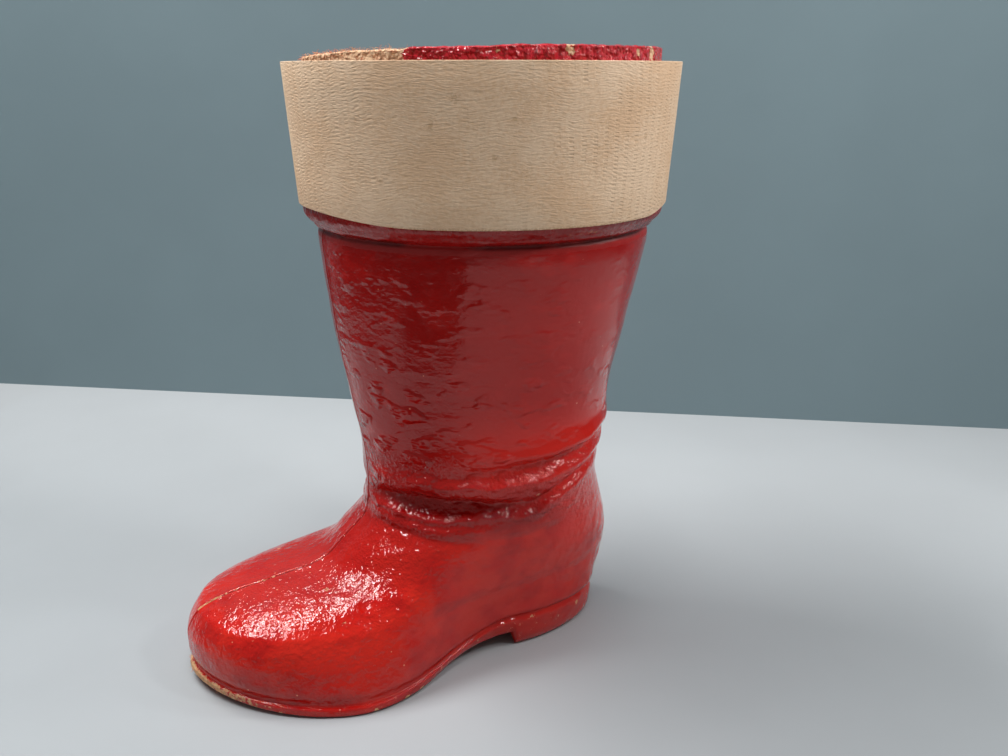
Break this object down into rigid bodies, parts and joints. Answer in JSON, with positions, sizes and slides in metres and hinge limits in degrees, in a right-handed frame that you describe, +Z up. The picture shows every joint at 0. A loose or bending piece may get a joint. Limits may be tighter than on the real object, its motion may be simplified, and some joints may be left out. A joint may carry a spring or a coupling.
{
  "type": "papier-mache boot",
  "caption": "Hollow papier-mache boot with glossy red moulded half shells, sole and heel, open top and a cream card cuff band.",
  "frame": {"origin": "on the ground under the middle of the boot's length and width", "axes": "+Z up the leg, toe towards -X, heel towards +X, the halves meet on the plane Y = 0"},
  "size_m": [0.1934, 0.1448, 0.2294],
  "materials": {
    "lacquered_pulp": "glossy red lacquer over moulded pulp",
    "cuff_card": "matt, grained",
    "seam_paper": "matt, raw"
  },
  "bodies": {
    "root": {"left_shell": "lacquered_pulp", "right_shell": "lacquered_pulp", "cuff_band": "cuff_card", "front_seam_paper": "seam_paper", "back_seam_paper": "seam_paper", "sole_seam_paper": "seam_paper"}
  },
  "joints": []
}
